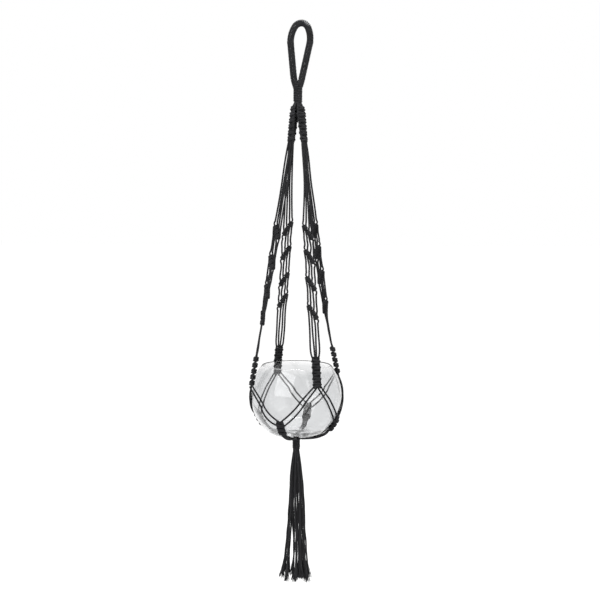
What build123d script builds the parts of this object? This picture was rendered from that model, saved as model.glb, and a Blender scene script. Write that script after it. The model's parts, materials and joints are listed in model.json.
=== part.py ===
from build123d import *

import math
import os

# Hanging macrame planter. Millimetres, +Z up. The origin is the point inside the top of the
# hanging loop where a hook bears, and the planter hangs below it along -Z. Four knotted arms
# carry a cord sling that holds a round glass bowl, and all sixteen cord ends are gathered
# below the bowl in a wrapping and hang as a tassel.
# Each soft knot is a plain closed pad of the knot's outer size, and each cord is a round rod.

# Cord and clearances
CORD = 2.6
CORD_RADIUS = CORD / 2
CLEARANCE = 0.35  # kept between bodies that move on each other
TRIM = 0.05  # cords stop this far from the knots that grip them

# Hanging loop, in the XZ plane
LOOP_TOP = 6.0  # centreline of the loop above the hook point
LOOP_WRAP_RADIUS = 5.9
LOOP_CORE_RADIUS = 3.6
CROWN_RADIUS = 13.0
CROWN_TURN = 62
SHOULDER_RADIUS = 49
LEG_LEAN = 9.0  # legs close in towards the throat by this angle
THROAT = Vector(0, 0, -101.5)  # neck_tilt pivot
THROAT_RADIUS = 6.5
WRAP_END = -96.0

# Neck wrapping
NECK_TOP = -109.0
NECK_BASE = Vector(0, 0, -133.0)  # hanger_sway pivot
NECK_RADIUS = 7.2
NECK_CORE_RADIUS = 4.9

# Arms: azimuth of each arm about Z and the heights where its diagonal hitch rows start
ARMS = {"front": -65, "left": -155, "back": 115, "right": 25}
ROW_STARTS = {
    "front": (-350, -392, -439, -488),
    "left": (-350, -403, -454, -500),
    "back": (-344, -388, -437, -476),
    "right": (-347, -386, -431, -485),
}
TOP_KNOTS_START = (7.9, -136.5)  # (distance from the axis, height) down each arm
TOP_KNOTS_END = (14.2, -204.0)
ARM_END = (84.9, -628.0)
TOP_KNOT_SIZE = (13.4, 7.0)  # width, thickness
TOP_KNOT_COUNT = 6
ROW_HALF_WIDTH = 8.6
ROW_DROP = 22.0
ROW_RADIUS = 2.7
ROW_BEAD_RADIUS = 3.3
ROW_BEADS = 4
LANES = (-8.1, -2.7, 2.7, 8.1)  # where the four cords run between the rows
KNOT_LANES = (-4.4, -1.5, 1.5, 4.4)  # where they leave a square knot
LOWER_KNOTS_TOP = -577.0
LOWER_KNOT_SIZE = (15.0, 6.4)
LOWER_KNOT_COUNT = 5

# Glass bowl: a sphere cut by its mouth and its base
BOWL_CENTRE = Vector(0, 0, -656.0)
BOWL_RADIUS = 81.5
BOWL_WALL = 3.0
RIM_HEIGHT = 53.0  # above the bowl's centre
BASE_DEPTH = 69.6  # below the bowl's centre
FLOOR_THICKNESS = 6.0

# Sling: cords, and the knots where neighbouring arms' cords join
SLING_GAP = 1.2  # between the cords and the glass, which lets the bowl be lifted
SLING_RADIUS = BOWL_RADIUS + SLING_GAP + CORD_RADIUS
SLING_LANES = (-6.4, -2.2, 2.2, 6.4)
JUNCTION_TURN = 45  # each junction is midway between two arms
JUNCTION_TOP = -21.0  # latitudes on the bowl, in degrees
JUNCTION_BOTTOM = -41.0
JUNCTION_SIZE = (16.0, 5.4)
SIDE_ENTRY = 3.6  # degrees that the outer cords enter below the inner ones
SLING_END = 1.2  # degrees above the junction where the sling cords stop

# Cords under the base, and the hub where they meet
BASE_CORD_DEPTH = 71.7  # below the bowl's centre
BASE_CORNER = 44.5
BASE_BEND = 10.0
HUB_RADIUS = 12.5
HUB_TOP = -726.3
HUB_BOTTOM = -734.2
HUB_BOTTOM_RADIUS = 9.0

# Gathering wrapping below the bowl
GATHER_TOP = Vector(0, 0, -737.0)  # gather_tilt pivot
GATHER_BASE = Vector(0, 0, -752.0)  # tassel_swing pivot
GATHER_RADIUS = 6.75
GATHER_CORE_RADIUS = 4.9

# Tassel: sixteen limp strands, each a route of points down from the gathering wrapping
TASSEL_STRANDS = {
    "01": [(5.15, 0, -759.3), (9, 0.6, -790), (12.8, 0.8, -832),
           (15, -0.4, -880), (18.2, 0.8, -932), (21.6, 2, -980)],
    "02": [(4.3, 2.8, -759.3), (7.6, 4.6, -790), (10.9, 7, -832),
           (12.4, 8.2, -880), (15, 9.6, -932), (16.4, 11.6, -983)],
    "03": [(2.1, 4.7, -759.3), (3.9, 8.2, -790), (5.4, 11.4, -832),
           (6.4, 13, -880), (8.6, 14.6, -932), (10.8, 15.8, -977)],
    "04": [(-0.7, 5.1, -759.3), (-1, 8.8, -790), (-1.6, 12.2, -832),
           (-0.8, 13.8, -880), (0.6, 14, -932), (1.8, 16.8, -984)],
    "05": [(-3.4, 3.9, -759.3), (-5.6, 7, -790), (-8.4, 9.6, -832),
           (-9.8, 11.2, -880), (-12, 13.2, -932), (-14.6, 15, -979)],
    "06": [(-4.95, 1.45, -759.3), (-8.8, 2.8, -790), (-12.6, 4.6, -832),
           (-15.4, 5.2, -880), (-19.6, 6, -932), (-23.4, 7.2, -975)],
    "07": [(-4.95, -1.45, -759.3), (-9.2, -2.2, -790), (-13.2, -2.4, -832),
           (-16.2, -2.6, -880), (-21, -2.2, -932), (-25.6, -3.4, -978)],
    "08": [(-3.4, -3.9, -759.3), (-6.2, -6.4, -790), (-9.4, -8.6, -832),
           (-12.8, -9.8, -880), (-16.2, -11, -932), (-19.4, -12.6, -982)],
    "09": [(-0.7, -5.1, -759.3), (-1.4, -9, -790), (-2.6, -12.6, -832),
           (-2.8, -14.4, -880), (-1.6, -16.2, -932), (-2.8, -18.4, -981)],
    "10": [(2.1, -4.7, -759.3), (3.5, -8.4, -790), (4.8, -11.6, -832),
           (5.6, -12.8, -880), (7.4, -13.6, -932), (8.4, -16.6, -976)],
    "11": [(4.3, -2.8, -759.3), (7.4, -5.2, -790), (10.6, -7.4, -832),
           (12.6, -8.2, -880), (15.2, -9.8, -932), (18.4, -10.8, -984)],
    "12": [(2.35, 0, -759.3), (4.4, 0.2, -790), (7, 0.6, -832),
           (9.2, 1, -880), (11.4, 1.4, -932), (13.2, 0.4, -982)],
    "13": [(0.75, 2.25, -759.3), (1.2, 4.2, -790), (2.2, 6.2, -832),
           (3.6, 7.8, -880), (5.2, 8, -932), (5.8, 10.4, -984)],
    "14": [(-1.9, 1.4, -759.3), (-3.2, 2.6, -790), (-4.4, 4.4, -832),
           (-3.2, 4.8, -880), (-2, 5, -932), (-3.6, 6.2, -978)],
    "15": [(-1.9, -1.4, -759.3), (-3.6, -2.2, -790), (-6, -2.6, -832),
           (-4.8, -3.6, -880), (-3.2, -4, -932), (-5, -3.2, -983)],
    "16": [(0.75, -2.25, -759.3), (1, -4, -790), (0.6, -6.2, -832),
           (2, -6.8, -880), (4.4, -7.4, -932), (5.8, -6.6, -979)],
}
ARC_SHARE = 0.45  # of the shorter run, used by the arc at each corner of a strand

os.makedirs("parts", exist_ok=True)


def save(name, solids):
    """Writes one node, which may be a group of separate solids."""
    shape = Compound(solids) if isinstance(solids, list) else solids
    export_step(shape, f"parts/{name}.step")


def rod(start, end, radius=CORD_RADIUS):
    """A straight round rod from one point to another."""
    run = Vector(end) - Vector(start)
    upright = (Align.CENTER, Align.CENTER, Align.MIN)
    return Plane(origin=start, z_dir=run) * Cylinder(radius, run.length, align=upright)


def tube(path, radius=CORD_RADIUS):
    """A round tube along a path of straight runs and tangent arcs."""
    return sweep(Plane(origin=path @ 0, z_dir=path % 0) * Circle(radius), path=path)


def ring(outer, inner, top, bottom):
    """An upright wrapping round a core, on the Z axis."""
    upright = (Align.CENTER, Align.CENTER, Align.MIN)
    wall = Cylinder(outer, top - bottom, align=upright) - Cylinder(inner, top - bottom, align=upright)
    return Pos(0, 0, bottom) * wall


def turned(shape, angle):
    return Rot(0, 0, angle) * shape


# Hanging loop


def loop_path(end_height):
    """The loop's centreline, from one leg over the crown to the other leg."""
    with BuildLine(Plane.XZ) as half:
        crown = JernArc((0, LOOP_TOP), (1, 0), CROWN_RADIUS, -CROWN_TURN)
        shoulder = JernArc(crown @ 1, crown % 1, SHOULDER_RADIUS, CROWN_TURN - 90 - LEG_LEAN)
        bend = shoulder @ 1
        lean = math.tan(math.radians(LEG_LEAN))
        Line(bend, Vector(bend.X + lean * (end_height - bend.Z), 0, end_height))
        mirror(about=Plane.YZ)
    return half.wire()


def loop_core():
    """The eight folded cords inside the loop, brought together in a round throat."""
    legs = tube(loop_path(THROAT.Z + 1), LOOP_CORE_RADIUS)
    return legs + Pos(THROAT) * Sphere(THROAT_RADIUS)


def loop_wrapping():
    """The cord wound closely round the loop, as a hollow sleeve."""
    stretches = []
    for stretch in loop_path(WRAP_END).edges():
        section = Circle(LOOP_WRAP_RADIUS) - Circle(LOOP_CORE_RADIUS + TRIM)
        stretches.append(sweep(Plane(origin=stretch @ 0, z_dir=stretch % 0) * section, path=stretch))
    sleeve = stretches[0]
    for stretch in stretches[1:]:
        sleeve += stretch
    return sleeve


def neck_core():
    """The cords inside the neck wrapping, rounded below about the sway pivot."""
    upright = (Align.CENTER, Align.CENTER, Align.MIN)
    core = Pos(NECK_BASE) * Cylinder(NECK_CORE_RADIUS, NECK_TOP - NECK_BASE.Z, align=upright)
    return core + Pos(NECK_BASE) * Sphere(NECK_CORE_RADIUS)


# Arms, built in the XZ plane with X outward and turned to their azimuth.
# Seen from outside, +Y is to the right.


def arm_distance(height):
    """Distance of the arm's middle from the axis, on its straight taut stretch."""
    slope = (ARM_END[0] - TOP_KNOTS_END[0]) / (ARM_END[1] - TOP_KNOTS_END[1])
    return TOP_KNOTS_END[0] + slope * (height - TOP_KNOTS_END[1])


def on_arm(lane, height):
    return Vector(arm_distance(height), lane, height)


def knot_stack(top, bottom, size, count):
    """A sinnet of square knots: a flat pad with one bulge each side for each knot."""
    width, thickness = size
    down = Vector(bottom[0] - top[0], 0, bottom[1] - top[1])
    outward = Vector(-down.Z, 0, down.X)
    pitch = down.length / count
    middle = Vector(top[0], 0, top[1]) + down * 0.5
    face = Plane(origin=middle, x_dir=(0, 1, 0), z_dir=outward)
    knots = Sketch()
    for index in range(count):
        offset = (index - (count - 1) / 2) * pitch
        knots += Pos(0, offset) * SlotOverall(width, pitch * 1.08)
    return extrude(face * knots, amount=thickness / 2, both=True)


def top_knots():
    """The upper sinnet, mitred against its neighbours and hollowed round the neck pivot."""
    stack = knot_stack(TOP_KNOTS_START, TOP_KNOTS_END, TOP_KNOT_SIZE, TOP_KNOT_COUNT)
    reach = 40
    corner = TRIM * 2
    quarter = Polyline((corner, 0), (reach, reach - corner), (reach, corner - reach), (corner, 0))
    wedge = Pos(0, 0, -250) * extrude(make_face(quarter), amount=200)
    socket = Pos(NECK_BASE) * Sphere(NECK_RADIUS + CLEARANCE)
    return (stack & wedge) - socket


def row_height(start, lane):
    """Where a diagonal row crosses a cord's lane."""
    return start - ROW_DROP * (lane + ROW_HALF_WIDTH) / (2 * ROW_HALF_WIDTH)


def hitch_row(start, extra=0.0):
    """A diagonal row of double half hitches along its carrier cord, falling to the right."""
    ends = [on_arm(lane, row_height(start, lane)) for lane in (-ROW_HALF_WIDTH, ROW_HALF_WIDTH)]
    row = rod(ends[0], ends[1], ROW_RADIUS + extra)
    for index in range(ROW_BEADS):
        share = index / (ROW_BEADS - 1)
        row += Pos(ends[0] * (1 - share) + ends[1] * share) * Sphere(ROW_BEAD_RADIUS + extra)
    return row


def trimmed(cords, knots):
    """The parts of some cords that lie between the knots that grip them."""
    pieces = []
    for cord in cords:
        for knot in knots:
            cord = cord - knot
        pieces += cord.solids()
    return pieces


def arm_cords(starts):
    """Upper, middle and lower stretches of one arm's four cords."""
    rows = [hitch_row(start, TRIM) for start in starts]
    knots_end = TOP_KNOTS_END[1] - TRIM - CORD_RADIUS
    upper = []
    middle = []
    lower = []
    for knot_lane, lane in zip(KNOT_LANES, LANES):
        first = on_arm(lane, row_height(starts[0], lane))
        last = on_arm(lane, row_height(starts[-1], lane))
        upper.append(rod(on_arm(knot_lane, knots_end), first))
        middle.append(rod(first, last))
        lower.append(rod(last, on_arm(knot_lane, LOWER_KNOTS_TOP + TRIM + CORD_RADIUS)))
    return (
        trimmed(upper, rows[:1]),
        trimmed(middle, rows),
        trimmed(lower, rows[-1:]),
    )


def lower_knots():
    top = (arm_distance(LOWER_KNOTS_TOP), LOWER_KNOTS_TOP)
    return knot_stack(top, ARM_END, LOWER_KNOT_SIZE, LOWER_KNOT_COUNT)


# Sling round the bowl


def on_bowl(turn, latitude, radius, lane=0.0):
    """A point at a radius from the bowl's centre, shifted sideways by a lane."""
    level = radius * math.cos(math.radians(latitude))
    longitude = math.radians(turn) + lane / level
    height = radius * math.sin(math.radians(latitude))
    return BOWL_CENTRE + Vector(level * math.cos(longitude), level * math.sin(longitude), height)


def taut_over_bowl(start, end):
    """A taut cord: straight until it meets the bowl, then along a great circle of it."""
    first = start - BOWL_CENTRE
    last = end - BOWL_CENTRE
    across = first.cross(last).normalized()
    toward = across.cross(first).normalized()
    meets = math.acos(SLING_RADIUS / first.length)
    total = math.radians(first.get_angle(last))

    def at(angle):
        direction = first.normalized() * math.cos(angle) + toward * math.sin(angle)
        return BOWL_CENTRE + direction * SLING_RADIUS

    with BuildLine() as path:
        Line(start, at(meets))
        ThreePointArc(at(meets), at((meets + total) / 2), at(total))
    return path.wire()


def sling_cords():
    """Four cords of one arm, two to the junction on each side of it."""
    cords = []
    for lane in SLING_LANES:
        side = math.copysign(1, lane)
        outermost = abs(lane) == max(SLING_LANES)
        latitude = JUNCTION_TOP + SLING_END - (0 if outermost else SIDE_ENTRY)
        entry = -side * (1.8 if outermost else JUNCTION_SIZE[0] / 2 + CORD_RADIUS + TRIM)
        start = Vector(ARM_END[0] + 0.4, lane, ARM_END[1] - CORD_RADIUS)
        end = on_bowl(side * JUNCTION_TURN, latitude, SLING_RADIUS, entry)
        cords.append(tube(taut_over_bowl(start, end)))
    return cords


def junction_knots():
    """Three square knots that lie along the bowl's lower curve."""
    width, thickness = JUNCTION_SIZE
    radius = BOWL_RADIUS + SLING_GAP / 2 + thickness / 2
    middle = (JUNCTION_TOP + JUNCTION_BOTTOM) / 2
    ends = [on_bowl(0, latitude, radius) for latitude in (JUNCTION_TOP, middle, JUNCTION_BOTTOM)]
    path = ThreePointArc(*ends)
    section = Plane(origin=path @ 0, x_dir=(0, 1, 0), z_dir=path % 0) * RectangleRounded(
        width, thickness, 2
    )
    return sweep(section, path=path)


def base_cords():
    """Four cords from a junction, round the edge of the bowl's base and in to the hub."""
    cords = []
    for knot_lane in KNOT_LANES:
        lane = knot_lane * 0.98
        start = on_bowl(0, JUNCTION_BOTTOM - 0.4, SLING_RADIUS + 0.7) + Vector(0, lane, 0)
        corner = BOWL_CENTRE + Vector(BASE_CORNER, lane, -BASE_CORD_DEPTH)
        inner = math.sqrt(HUB_RADIUS**2 - (abs(lane) - CORD_RADIUS) ** 2) + TRIM
        end = BOWL_CENTRE + Vector(inner, lane, -BASE_CORD_DEPTH)
        path = FilletPolyline(start, corner, end, radius=BASE_BEND)
        cords.append(tube(path))
    return cords


def base_hub():
    """Where all sixteen cords meet and turn down, hollowed round the gathering pivot."""
    upright = (Align.CENTER, Align.CENTER, Align.MAX)
    disc = Pos(0, 0, HUB_TOP) * Cylinder(HUB_RADIUS, CORD + 0.4, align=upright)
    depth = HUB_TOP - CORD - 0.4 - HUB_BOTTOM
    cone = Cone(HUB_BOTTOM_RADIUS, HUB_RADIUS, depth, align=(Align.CENTER, Align.CENTER, Align.MIN))
    hub = disc + Pos(0, 0, HUB_BOTTOM) * cone
    return hub - Pos(GATHER_TOP) * Sphere(GATHER_RADIUS + CLEARANCE)


def gathered_cords():
    """The sixteen cords inside the gathering wrapping, rounded at both pivots."""
    core = rod(GATHER_BASE, GATHER_TOP, GATHER_CORE_RADIUS)
    for pivot in (GATHER_TOP, GATHER_BASE):
        core += Pos(pivot) * Sphere(GATHER_CORE_RADIUS)
    return core


# Bowl and tassel


def glass_bowl():
    """A truncated sphere with a thicker flat base, a rounded foot and a rounded rim."""
    size = 4 * BOWL_RADIUS
    below = (Align.CENTER, Align.CENTER, Align.MAX)
    above = (Align.CENTER, Align.CENTER, Align.MIN)
    outer = Sphere(BOWL_RADIUS)
    outer -= Pos(0, 0, RIM_HEIGHT) * Box(size, size, size, align=above)
    outer -= Pos(0, 0, -BASE_DEPTH) * Box(size, size, size, align=below)
    inner = Sphere(BOWL_RADIUS - BOWL_WALL)
    inner -= Pos(0, 0, FLOOR_THICKNESS - BASE_DEPTH) * Box(size, size, size, align=below)
    bowl = outer - inner
    rim = bowl.edges().filter_by(GeomType.CIRCLE).group_by(Axis.Z)[-1]
    bowl = fillet(rim, BOWL_WALL * 0.4)
    foot = bowl.edges().filter_by(GeomType.CIRCLE).group_by(Axis.Z)[0]
    bowl = fillet(foot, 2.0)
    return Pos(BOWL_CENTRE) * bowl


def strand(name, points):
    """One tassel strand: straight runs joined by arcs as large as the runs allow."""
    points = [Vector(point) for point in points]
    runs = [end - start for start, end in zip(points, points[1:])]
    radii = []
    for before, after in zip(runs, runs[1:]):
        half_turn = math.radians(before.get_angle(after)) / 2
        radii.append(ARC_SHARE * min(before.length, after.length) / math.tan(half_turn))
    path = FilletPolyline(*points, radius=radii)
    solid = tube(path)
    expected = math.pi * CORD_RADIUS**2 * path.length
    tightest = min(radii)
    print(f"strand {name}: length {path.length:.1f}, tightest arc {tightest:.0f},", end=" ")
    print(f"volume {solid.volume / expected:.4f} of section times length")
    return solid


save("loop_core_cords", loop_core())
save("loop_wrapping", loop_wrapping())
save("neck_core_cords", neck_core())
save("neck_wrapping", ring(NECK_RADIUS, NECK_CORE_RADIUS + TRIM, NECK_TOP, NECK_BASE.Z))

for arm, azimuth in ARMS.items():
    upper, middle, lower = arm_cords(ROW_STARTS[arm])
    rows = [hitch_row(start) for start in ROW_STARTS[arm]]
    save(f"{arm}_top_knots", turned(top_knots(), azimuth))
    save(f"{arm}_upper_cords", [turned(cord, azimuth) for cord in upper])
    save(f"{arm}_hitch_rows", [turned(row, azimuth) for row in rows])
    save(f"{arm}_mid_cords", [turned(cord, azimuth) for cord in middle])
    save(f"{arm}_lower_cords", [turned(cord, azimuth) for cord in lower])
    save(f"{arm}_lower_knots", turned(lower_knots(), azimuth))
    save(f"{arm}_sling_cords", [turned(cord, azimuth) for cord in sling_cords()])

# Each junction is named after the two arms on either side of it
JUNCTIONS = {"front_left": "left", "left_back": "back", "back_right": "right", "right_front": "front"}
for junction, arm_after in JUNCTIONS.items():
    azimuth = ARMS[arm_after] + JUNCTION_TURN
    save(f"{junction}_junction_knots", turned(junction_knots(), azimuth))
    save(f"{junction}_base_cords", [turned(cord, azimuth) for cord in base_cords()])

save("base_crossing", base_hub())
save("gathered_cords", gathered_cords())
save("gathering_wrapping", ring(GATHER_RADIUS, GATHER_CORE_RADIUS + TRIM, GATHER_TOP.Z, GATHER_BASE.Z))
save("glass_bowl", glass_bowl())

for number, route in TASSEL_STRANDS.items():
    save(f"tassel_strand_{number}", strand(number, route))
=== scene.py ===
import json
import math

import bpy
import numpy as np
from mathutils import Matrix, Vector


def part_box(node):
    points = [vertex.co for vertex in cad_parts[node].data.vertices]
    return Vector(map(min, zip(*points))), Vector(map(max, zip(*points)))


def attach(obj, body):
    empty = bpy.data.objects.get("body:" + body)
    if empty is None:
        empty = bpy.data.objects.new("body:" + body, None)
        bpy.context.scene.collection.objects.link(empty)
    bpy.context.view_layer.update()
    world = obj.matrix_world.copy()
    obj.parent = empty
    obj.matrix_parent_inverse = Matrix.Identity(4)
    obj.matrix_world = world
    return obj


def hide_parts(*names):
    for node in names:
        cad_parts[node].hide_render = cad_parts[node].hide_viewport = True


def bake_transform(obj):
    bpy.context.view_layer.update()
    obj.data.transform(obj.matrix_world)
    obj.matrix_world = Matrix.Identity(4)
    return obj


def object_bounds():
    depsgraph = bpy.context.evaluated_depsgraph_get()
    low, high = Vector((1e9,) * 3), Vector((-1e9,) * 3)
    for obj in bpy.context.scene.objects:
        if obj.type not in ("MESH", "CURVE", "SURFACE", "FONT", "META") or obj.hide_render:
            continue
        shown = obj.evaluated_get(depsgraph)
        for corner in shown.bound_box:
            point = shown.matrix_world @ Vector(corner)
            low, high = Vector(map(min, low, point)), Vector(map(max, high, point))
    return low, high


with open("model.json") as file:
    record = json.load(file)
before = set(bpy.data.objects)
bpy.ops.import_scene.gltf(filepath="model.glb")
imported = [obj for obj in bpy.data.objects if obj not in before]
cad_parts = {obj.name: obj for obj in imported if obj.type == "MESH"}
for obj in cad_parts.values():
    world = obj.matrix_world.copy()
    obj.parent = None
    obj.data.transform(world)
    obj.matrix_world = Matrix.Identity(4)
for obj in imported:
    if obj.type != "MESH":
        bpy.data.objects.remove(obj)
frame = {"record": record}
CAD_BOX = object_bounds()

# Sizes below are in millimetres, and meshes are written in metres.
MM = 0.001
CORD = 2.6
RADIUS = 1.65  # soft cotton spreads a little past its measured 1.3
ARM_RADIUS = 1.75  # the upper cords hang looser
STEP = 0.85  # along a knotted cord
LONG_STEP = 1.3  # along a straight one
COLUMNS = 12  # vertices round a cord
PLIES = 3
LAY = 9.5  # length of one full twist of the plies
GROOVE = 0.15  # depth of the grooves between plies, as a share of the radius

ARMS = ("front", "left", "back", "right")
ROW_STARTS = {
    "front": (-350, -392, -439, -488),
    "left": (-350, -403, -454, -500),
    "back": (-344, -388, -437, -476),
    "right": (-347, -386, -431, -485),
}
ROW_HALF_WIDTH = 8.6
ROW_DROP = 26.0
HITCH_SHARES = (0.2, 0.5, 0.8)  # where along a row each of its three hitches sits
LANES = (-8.1, -2.7, 2.7, 8.1)
# Each junction: the arm that it is measured from, its turn from that arm in degrees, the latitude
# of its first knot and its length.
JUNCTIONS = {
    "front_left": ("left", 43.5, -25.0, 25.5),
    "left_back": ("back", 45.0, -24.0, 26.0),
    "back_right": ("right", 49.0, -20.5, 27.0),
    "right_front": ("front", 44.5, -24.5, 26.0),
}
JUNCTION_OUT = 3.5  # how far the junction's knots stand out from the glass
JUNCTION_AFTER = {arm: name for name, (arm, *_) in JUNCTIONS.items()}
JUNCTION_BEFORE = {"front": "front_left", "left": "left_back", "back": "back_right", "right": "right_front"}

TASSEL_STRANDS = {
    "01": [(5.15, 0, -759.3), (9.6, 0.7, -790), (13.4, 1, -832),
           (16, -0.4, -880), (18.2, 0.8, -932), (23, 2, -985)],
    "02": [(4.3, 2.8, -759.3), (8.6, 5.6, -790), (12.4, 8.4, -832),
           (14.4, 9, -880), (16, 10, -932), (17.4, 11.6, -988)],
    "03": [(2.1, 4.7, -759.3), (6.2, 8.2, -790), (9.4, 11.4, -832),
           (8.2, 14.3, -880), (10.4, 15.2, -932), (12, 15.8, -982)],
    "04": [(-0.7, 5.1, -759.3), (-0.6, 10.7, -790), (-0.6, 14.6, -832),
           (0.2, 15.2, -880), (2.4, 14.6, -932), (2.6, 16.8, -989)],
    "05": [(-3.4, 3.9, -759.3), (-6, 8.5, -790), (-7.2, 11.5, -832),
           (-8, 12.3, -880), (-11.3, 13.7, -932), (-13.2, 15, -984)],
    "06": [(-4.95, 1.45, -759.3), (-9, 3.4, -790), (-10.4, 5.5, -832),
           (-12, 5.7, -880), (-16.4, 6.2, -932), (-21.2, 7.2, -980)],
    "07": [(-4.95, -1.45, -759.3), (-9.4, -2.7, -790), (-11.2, -2.9, -832),
           (-13, -2.9, -880), (-18.4, -2.3, -932), (-24.6, -3.4, -983)],
    "08": [(-3.2, -3.75, -759.3), (-6.8, -7.8, -790), (-8.8, -10.3, -832),
           (-10.4, -10.8, -880), (-13.8, -11.4, -932), (-17, -12.6, -987)],
    "09": [(-0.7, -5.1, -759.3), (-1.4, -11, -790), (-2.2, -15.1, -832),
           (-0.4, -15.8, -880), (0.9, -16.8, -932), (0.2, -18.4, -986)],
    "10": [(2.1, -4.7, -759.3), (4, -10.2, -790), (7, -11.6, -832),
           (7.2, -14.1, -880), (8.8, -14.1, -932), (10.2, -16.6, -981)],
    "11": [(4.3, -2.8, -759.3), (8.4, -6.3, -790), (11.6, -8.9, -832),
           (13.4, -9, -880), (15.6, -10.2, -932), (20, -10.8, -989)],
    "12": [(2.35, 0, -759.3), (5, 0.2, -790), (7.6, 0.6, -832),
           (11.2, 1.1, -880), (13.6, 1.5, -932), (15.2, 0.4, -987)],
    "13": [(0.75, 2.25, -759.3), (1.4, 5.1, -790), (3.4, 7.4, -832),
           (5.4, 8.6, -880), (7.2, 8.3, -932), (8.6, 10.4, -989)],
    "14": [(-1.9, 1.4, -759.3), (-3.4, 3.2, -790), (-5, 5.3, -832),
           (-4, 5.3, -880), (-1.8, 5.2, -932), (-5.6, 6.2, -983)],
    "15": [(-1.9, -1.4, -759.3), (-3.8, -2.7, -790), (-6.2, -3.1, -832),
           (-5.4, -4, -880), (-3.4, -4.2, -932), (-3.4, -3.2, -988)],
    "16": [(0.75, -2.25, -759.3), (1.2, -4.9, -790), (2.2, -7.4, -832),
           (3.6, -7.5, -880), (5, -7.7, -932), (6.4, -6.6, -984)],
}

random = np.random.default_rng(7)


# Places read from the frame


def box_mm(node):
    low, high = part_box(node)
    return np.array(low) / MM, np.array(high) / MM


def pivot(joint):
    for entry in frame["record"]["behaviour"]["joints"]:
        if entry["name"] == joint:
            return np.array(entry["pos_m"]) / MM
    raise ValueError(joint)


def azimuth_of(arm):
    low, high = box_mm(f"{arm}_lower_knots")
    middle = (low + high) / 2
    return math.atan2(middle[1], middle[0])


AZIMUTHS = {arm: azimuth_of(arm) for arm in ARMS}
THROAT = pivot("neck_tilt")
NECK_TOP = THROAT[2] - 4
NECK_BASE = pivot("hanger_sway")
GATHER_TOP = pivot("gather_tilt")
GATHER_BASE = pivot("tassel_swing")
BOWL_LOW, BOWL_HIGH = box_mm("glass_bowl")
BOWL_RADIUS = 81.5
BASE_DEPTH = 69.6
# Edge of the bowl's base: distance from the axis and height over the bowl's centre.
ROUNDED_BASE = [(53.5, -61.4), (49.5, -63.9), (45.0, -66.0), (40.0, -67.7), (35.0, -68.9), (30.0, -69.5)]
BOWL_CENTRE = np.array([0, 0, BOWL_LOW[2] + BASE_DEPTH])
# Distance from the axis and height.
TOP_KNOTS_START = (7.9, -136.5)
TOP_KNOTS_END = (14.2, -204.0)
ARM_END = (84.9, -628.0)
# Top and bottom of each arm's lower knots.
LOWER_KNOTS = {"front": (-580, -629), "left": (-581, -633), "back": (-577, -628), "right": (-571, -620)}


# Materials


def new_material(name):
    material = bpy.data.materials.new(name)
    material.use_nodes = True
    nodes = material.node_tree.nodes
    return material, nodes, material.node_tree.links, nodes["Principled BSDF"]


def ramp(nodes, low, high, low_at=0.0, high_at=1.0):
    node = nodes.new("ShaderNodeValToRGB")
    node.color_ramp.elements[0].color = (*low, 1)
    node.color_ramp.elements[1].color = (*high, 1)
    node.color_ramp.elements[0].position = low_at
    node.color_ramp.elements[1].position = high_at
    return node


def cotton(name, dark, light, sheen):
    """Black twisted cotton: fibres run along each ply, the grooves are darker, and the dye is uneven."""
    material, nodes, links, shader = new_material(name)
    uv = nodes.new("ShaderNodeUVMap")
    uv.uv_map = "cord"
    stretch = nodes.new("ShaderNodeMapping")
    stretch.inputs["Scale"].default_value = (26, 5.5, 1)
    links.new(uv.outputs["UV"], stretch.inputs["Vector"])
    fibres = nodes.new("ShaderNodeTexNoise")
    fibres.inputs["Scale"].default_value = 1.0
    fibres.inputs["Detail"].default_value = 4
    fibres.inputs["Roughness"].default_value = 0.65
    links.new(stretch.outputs["Vector"], fibres.inputs["Vector"])
    place = nodes.new("ShaderNodeTexCoord")
    dye = nodes.new("ShaderNodeTexNoise")
    dye.inputs["Scale"].default_value = 55
    dye.inputs["Detail"].default_value = 5
    links.new(place.outputs["Object"], dye.inputs["Vector"])
    shade = nodes.new("ShaderNodeMath")
    shade.operation = "MULTIPLY"
    links.new(fibres.outputs["Fac"], shade.inputs[0])
    links.new(dye.outputs["Fac"], shade.inputs[1])
    colour = ramp(nodes, dark, light, 0.12, 0.42)
    links.new(shade.outputs[0], colour.inputs["Fac"])
    links.new(colour.outputs["Color"], shader.inputs["Base Color"])
    rough = nodes.new("ShaderNodeMapRange")
    rough.inputs["To Min"].default_value = 0.78
    rough.inputs["To Max"].default_value = 0.97
    links.new(fibres.outputs["Fac"], rough.inputs["Value"])
    links.new(rough.outputs["Result"], shader.inputs["Roughness"])
    bump = nodes.new("ShaderNodeBump")
    bump.inputs["Strength"].default_value = 0.55
    bump.inputs["Distance"].default_value = 0.00025
    links.new(fibres.outputs["Fac"], bump.inputs["Height"])
    links.new(bump.outputs["Normal"], shader.inputs["Normal"])
    shader.inputs["Specular IOR Level"].default_value = 0.25
    shader.inputs["Sheen Weight"].default_value = sheen
    shader.inputs["Sheen Roughness"].default_value = 0.55
    shader.inputs["Sheen Tint"].default_value = (0.62, 0.63, 0.66, 1)
    return material


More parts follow.
